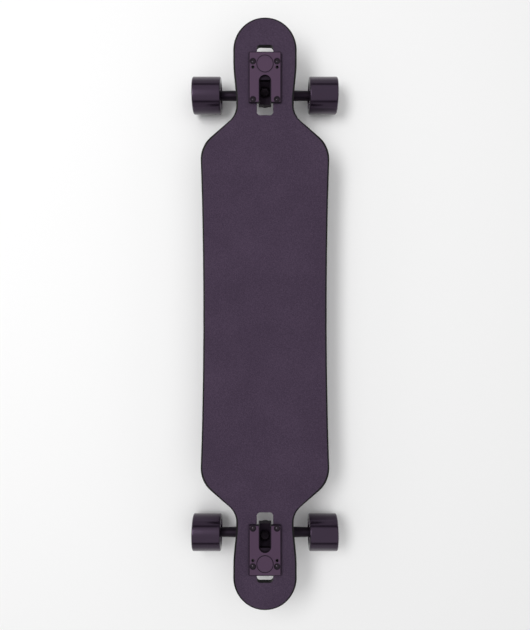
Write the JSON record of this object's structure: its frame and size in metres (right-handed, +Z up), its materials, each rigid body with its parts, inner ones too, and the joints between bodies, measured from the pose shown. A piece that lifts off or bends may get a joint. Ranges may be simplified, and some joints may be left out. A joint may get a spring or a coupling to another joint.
{
  "type": "longboard skateboard",
  "caption": "Drop-through longboard with a cut-out deck, raised ends, grip-taped top, steering trucks and wide wheels that roll on bearings.",
  "frame": {"origin": "on the floor under the middle of the board", "axes": "+Y along the board towards the nose, +X to the rider's right facing the nose, +Z up"},
  "size_m": [0.261, 1.016, 0.0996],
  "materials": {
    "deck_lacquer": "black stained maple plywood, satin with gloss stripes below",
    "grip": "black abrasive grip tape",
    "truck_paint": "black satin paint on cast aluminium",
    "black_steel": "black oxide",
    "steel": "zinc plated",
    "bearing_steel": "ground and polished",
    "pivot_plastic": "moulded nylon",
    "cage_plastic": "moulded nylon",
    "bushing_urethane": "cast urethane",
    "wheel_urethane": "cast urethane, ground tread",
    "core_plastic": "moulded nylon"
  },
  "bodies": {
    "deck": {"deck": "deck_lacquer", "grip_tape": "grip", "front_baseplate": "truck_paint", "front_mounting_bolts": "black_steel", "front_mounting_nuts": "black_steel", "front_pivot_cup": "pivot_plastic", "front_kingpin": "black_steel", "front_kingpin_nut": "black_steel", "front_upper_washer": "black_steel", "front_lower_washer": "black_steel", "front_upper_bushing": "bushing_urethane", "front_lower_bushing": "bushing_urethane", "rear_baseplate": "truck_paint", "rear_mounting_bolts": "black_steel", "rear_mounting_nuts": "black_steel", "rear_pivot_cup": "pivot_plastic", "rear_kingpin": "black_steel", "rear_kingpin_nut": "black_steel", "rear_upper_washer": "black_steel", "rear_lower_washer": "black_steel", "rear_upper_bushing": "bushing_urethane", "rear_lower_bushing": "bushing_urethane"},
    "front_hanger": {"front_hanger": "truck_paint", "front_axle": "steel", "front_axle_nuts": "steel", "front_speed_washers": "steel", "front_bearing_inner_rings": "bearing_steel", "front_bearing_spacers": "steel"},
    "front_left_wheel": {"front_left_tyre": "wheel_urethane", "front_left_core": "core_plastic", "front_left_bearing_outer_rings": "bearing_steel", "front_left_bearing_shields": "bearing_steel"},
    "front_left_ball_cages": {"front_left_bearing_balls": "bearing_steel", "front_left_bearing_cages": "cage_plastic"},
    "front_right_wheel": {"front_right_tyre": "wheel_urethane", "front_right_core": "core_plastic", "front_right_bearing_outer_rings": "bearing_steel", "front_right_bearing_shields": "bearing_steel"},
    "front_right_ball_cages": {"front_right_bearing_balls": "bearing_steel", "front_right_bearing_cages": "cage_plastic"},
    "rear_hanger": {"rear_hanger": "truck_paint", "rear_axle": "steel", "rear_axle_nuts": "steel", "rear_speed_washers": "steel", "rear_bearing_inner_rings": "bearing_steel", "rear_bearing_spacers": "steel"},
    "rear_left_wheel": {"rear_left_tyre": "wheel_urethane", "rear_left_core": "core_plastic", "rear_left_bearing_outer_rings": "bearing_steel", "rear_left_bearing_shields": "bearing_steel"},
    "rear_left_ball_cages": {"rear_left_bearing_balls": "bearing_steel", "rear_left_bearing_cages": "cage_plastic"},
    "rear_right_wheel": {"rear_right_tyre": "wheel_urethane", "rear_right_core": "core_plastic", "rear_right_bearing_outer_rings": "bearing_steel", "rear_right_bearing_shields": "bearing_steel"},
    "rear_right_ball_cages": {"rear_right_bearing_balls": "bearing_steel", "rear_right_bearing_cages": "cage_plastic"}
  },
  "joints": [
    {"name": "front_steer", "type": "hinge", "parent": "deck", "child": "front_hanger", "pos_m": [0, 0.39706, 0.0325], "axis": [0, 0.6428, 0.766], "range_deg": [-20, 20], "stiffness_Nm_per_rad": 40, "deforming": ["front_upper_bushing", "front_lower_bushing"]},
    {"name": "front_left_spin", "type": "hinge", "parent": "front_hanger", "child": "front_left_wheel", "pos_m": [0, 0.39706, 0.0325], "axis": [1, 0, 0], "continuous": true},
    {"name": "front_left_cage_spin", "type": "hinge", "parent": "front_hanger", "child": "front_left_ball_cages", "pos_m": [0, 0.39706, 0.0325], "axis": [1, 0, 0], "continuous": true},
    {"name": "front_right_spin", "type": "hinge", "parent": "front_hanger", "child": "front_right_wheel", "pos_m": [0, 0.39706, 0.0325], "axis": [1, 0, 0], "continuous": true},
    {"name": "front_right_cage_spin", "type": "hinge", "parent": "front_hanger", "child": "front_right_ball_cages", "pos_m": [0, 0.39706, 0.0325], "axis": [1, 0, 0], "continuous": true},
    {"name": "rear_steer", "type": "hinge", "parent": "deck", "child": "rear_hanger", "pos_m": [0, -0.39706, 0.0325], "axis": [0, -0.6428, 0.766], "range_deg": [-20, 20], "stiffness_Nm_per_rad": 40, "deforming": ["rear_upper_bushing", "rear_lower_bushing"]},
    {"name": "rear_left_spin", "type": "hinge", "parent": "rear_hanger", "child": "rear_left_wheel", "pos_m": [0, -0.39706, 0.0325], "axis": [1, 0, 0], "continuous": true},
    {"name": "rear_left_cage_spin", "type": "hinge", "parent": "rear_hanger", "child": "rear_left_ball_cages", "pos_m": [0, -0.39706, 0.0325], "axis": [1, 0, 0], "continuous": true},
    {"name": "rear_right_spin", "type": "hinge", "parent": "rear_hanger", "child": "rear_right_wheel", "pos_m": [0, -0.39706, 0.0325], "axis": [1, 0, 0], "continuous": true},
    {"name": "rear_right_cage_spin", "type": "hinge", "parent": "rear_hanger", "child": "rear_right_ball_cages", "pos_m": [0, -0.39706, 0.0325], "axis": [1, 0, 0], "continuous": true}
  ],
  "couplings": [
    {"joint": "front_left_cage_spin", "follows": "front_left_spin", "ratio": 0.63227},
    {"joint": "front_right_cage_spin", "follows": "front_right_spin", "ratio": 0.63227},
    {"joint": "rear_left_cage_spin", "follows": "rear_left_spin", "ratio": 0.63227},
    {"joint": "rear_right_cage_spin", "follows": "rear_right_spin", "ratio": 0.63227}
  ]
}
